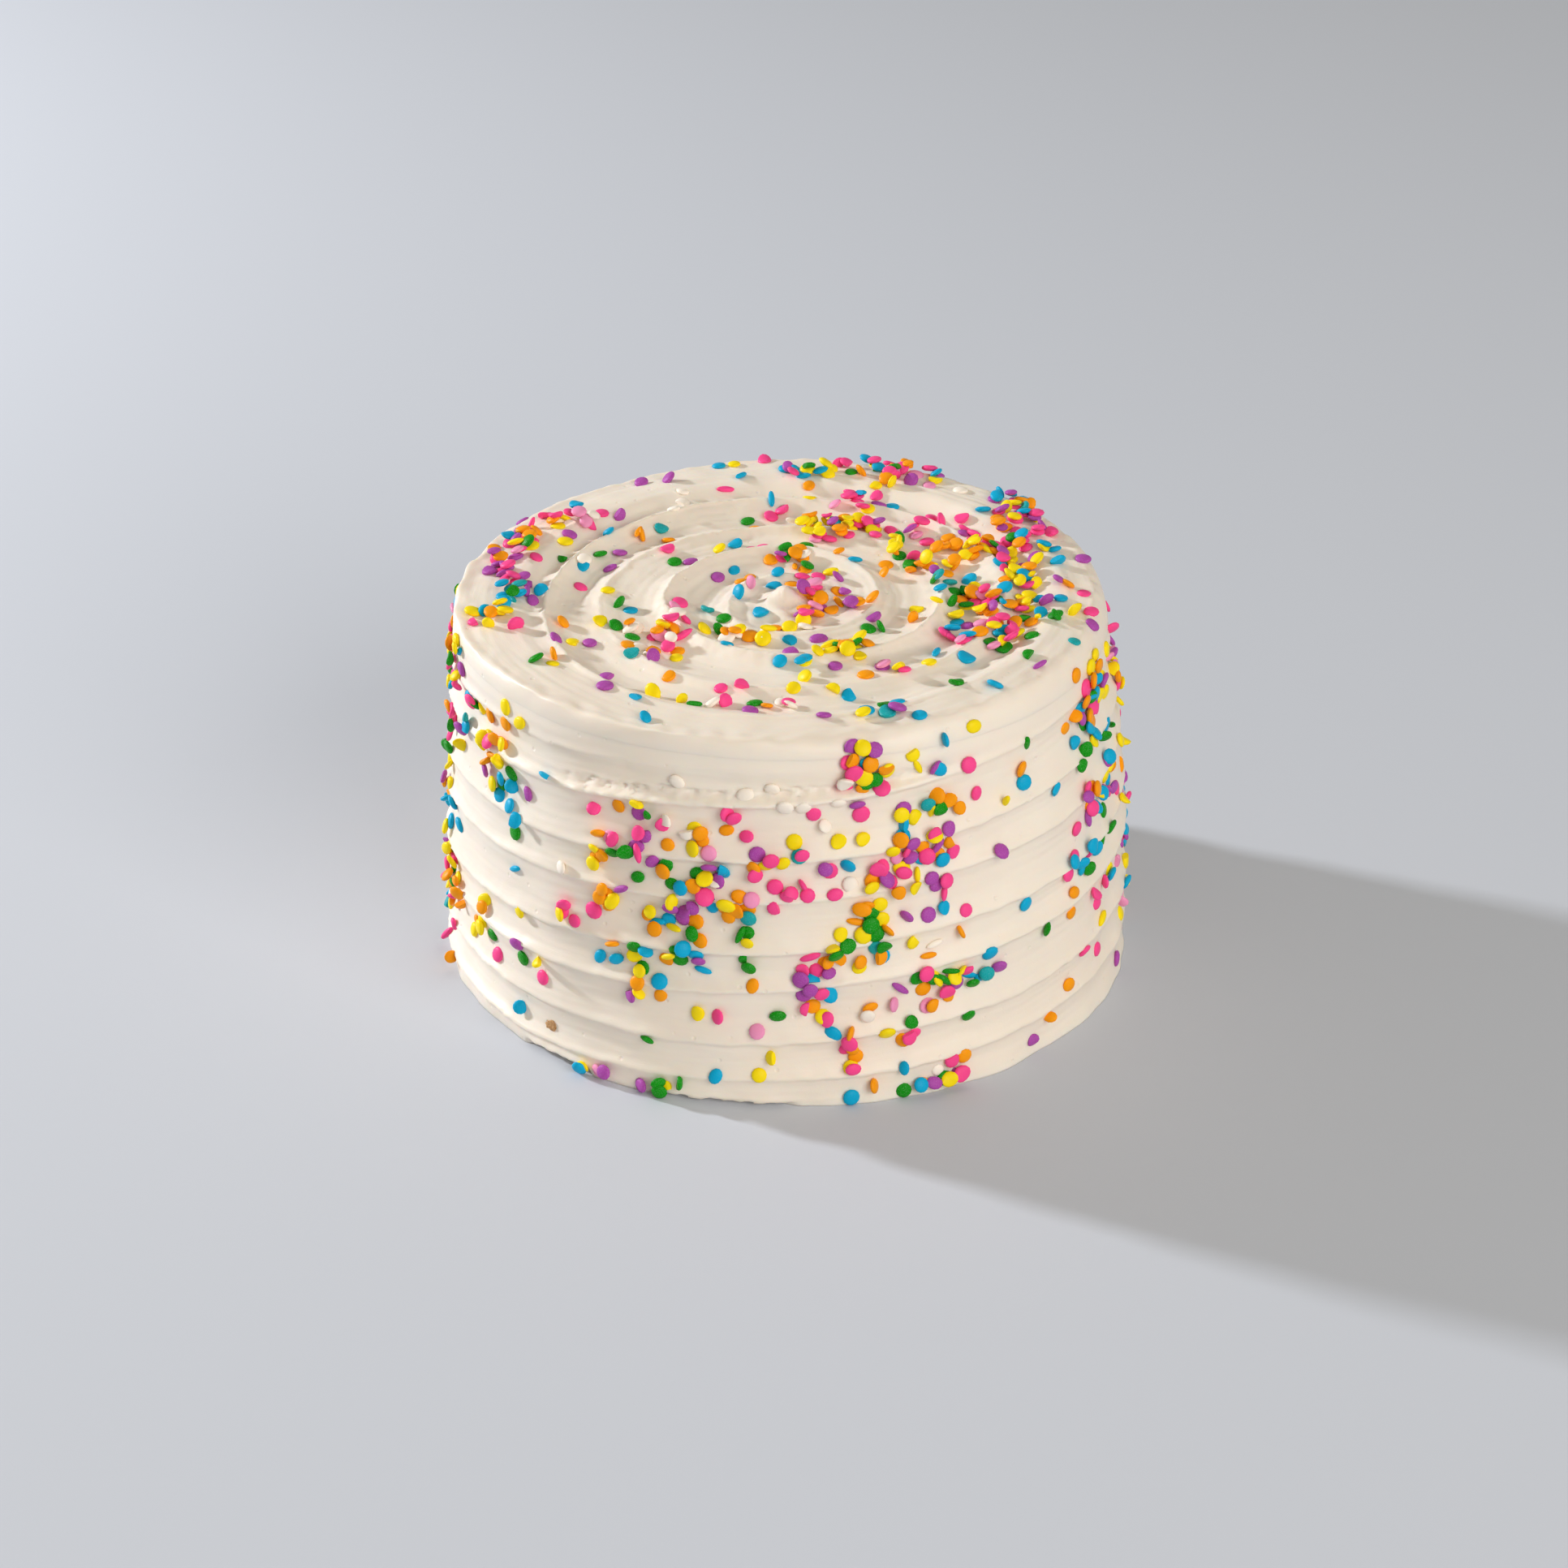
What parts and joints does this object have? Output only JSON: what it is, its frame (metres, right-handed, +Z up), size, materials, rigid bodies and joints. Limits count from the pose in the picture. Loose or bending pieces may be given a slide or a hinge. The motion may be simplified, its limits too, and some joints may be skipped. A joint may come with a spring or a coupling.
{
  "type": "confetti cake",
  "caption": "Tall round frosted layer cake, uncut, with a spiral spatula swirl on top, banded sides and round sugar confetti pressed into the icing.",
  "frame": {"origin": "centre of the cake's flat foot, on the surface it stands on", "axes": "+Z up, -Y towards the front that the picture shows, +X to the right as seen from the front"},
  "size_m": [0.1746, 0.1743, 0.1031],
  "materials": {
    "icing": "ivory buttercream, smooth, soft satin",
    "pink_sugar": "pressed sugar confetti, satin",
    "orange_sugar": "pressed sugar confetti, satin",
    "yellow_sugar": "pressed sugar confetti, satin",
    "blue_sugar": "pressed sugar confetti, satin",
    "purple_sugar": "pressed sugar confetti, satin",
    "green_sugar": "pressed sugar confetti, satin",
    "white_sugar": "pressed sugar confetti, satin",
    "sponge_crumb": "baked sponge crumb, matt"
  },
  "bodies": {
    "root": {"frosted_cake": "icing"}
  },
  "joints": []
}
